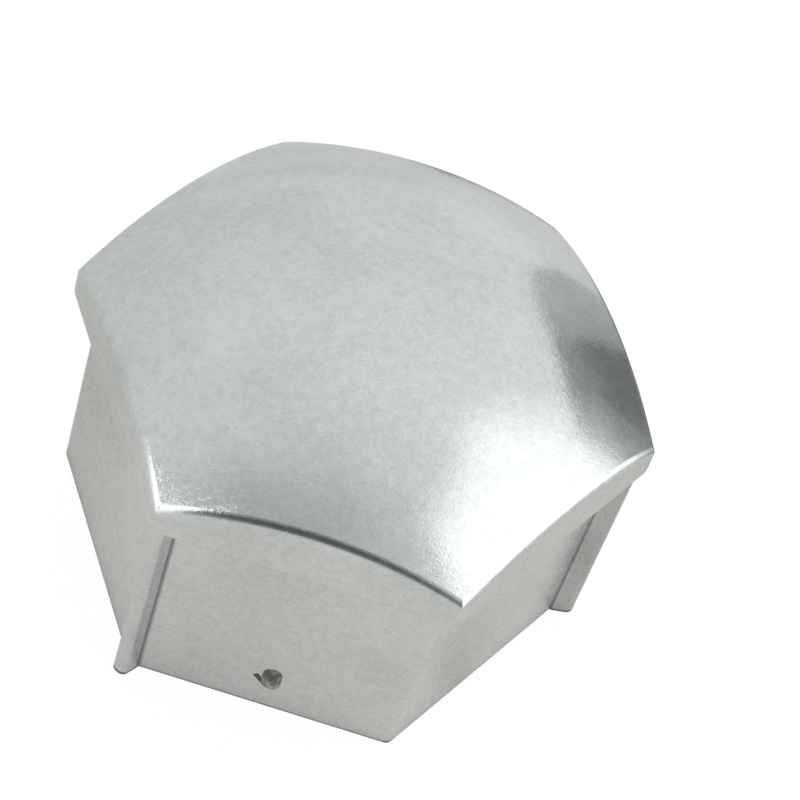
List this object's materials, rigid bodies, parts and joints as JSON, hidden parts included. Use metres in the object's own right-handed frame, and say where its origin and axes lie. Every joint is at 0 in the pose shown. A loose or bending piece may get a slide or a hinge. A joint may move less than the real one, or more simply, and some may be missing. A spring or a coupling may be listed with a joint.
{
  "type": "wheel nut cap",
  "caption": "Domed hexagonal push-on cover cap for a wheel nut, with a recessed hexagonal skirt, upright corner fins and a small hole near its mouth.",
  "frame": {"origin": "on the cap's axis, in the plane of the skirt's mouth", "axes": "+Z along the axis from the mouth to the top of the dome; +X through a corner of the hexagon that carries a fin; the wall with the small hole faces -Y"},
  "size_m": [0.0242, 0.021, 0.0159],
  "materials": {
    "silver_plastic": "satin silver metallic coating on moulded plastic"
  },
  "bodies": {
    "root": {"cap": "silver_plastic"}
  },
  "joints": []
}
